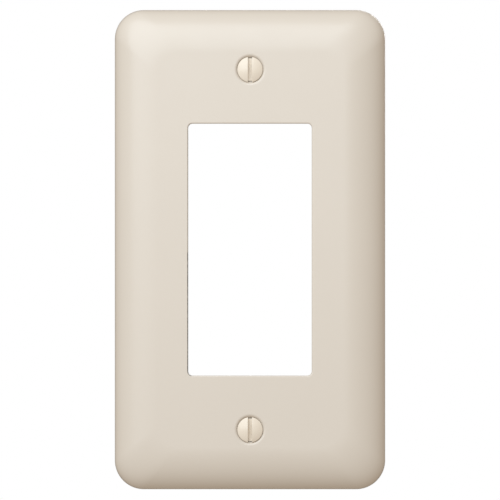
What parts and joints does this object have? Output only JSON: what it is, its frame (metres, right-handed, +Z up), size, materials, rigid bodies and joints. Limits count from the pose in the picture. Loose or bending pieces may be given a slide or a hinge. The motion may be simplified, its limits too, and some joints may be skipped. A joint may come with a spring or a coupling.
{
  "type": "wall switch plate",
  "caption": "Stamped steel wall switch plate with a rolled border, a rectangular opening for a rocker switch, and slotted oval-head screws.",
  "frame": {"origin": "middle of the rectangular opening, in the wall plane that the plate's rear rim rests on; it is also the middle of the whole assembly's box", "axes": "+Z up the wall, the front faces -Y, +Y points into the wall, +X to the right as seen from the front"},
  "size_m": [0.0728, 0.0167, 0.129],
  "materials": {
    "plate_enamel": "semi-gloss light almond baked enamel on sheet steel",
    "screw_enamel": "glossier and slightly creamier almond enamel on the head, over a zinc-plated steel screw"
  },
  "bodies": {
    "plate": {"cover_plate": "plate_enamel"},
    "top_screw": {"upper_screw": "screw_enamel"},
    "bottom_screw": {"lower_screw": "screw_enamel"}
  },
  "joints": [
    {"name": "upper_screw_withdrawal", "type": "slide", "parent": "plate", "child": "top_screw", "axis": [0, -1, 0], "range_m": [0, 0.0165]},
    {"name": "lower_screw_withdrawal", "type": "slide", "parent": "plate", "child": "bottom_screw", "axis": [0, -1, 0], "range_m": [0, 0.0165]}
  ]
}
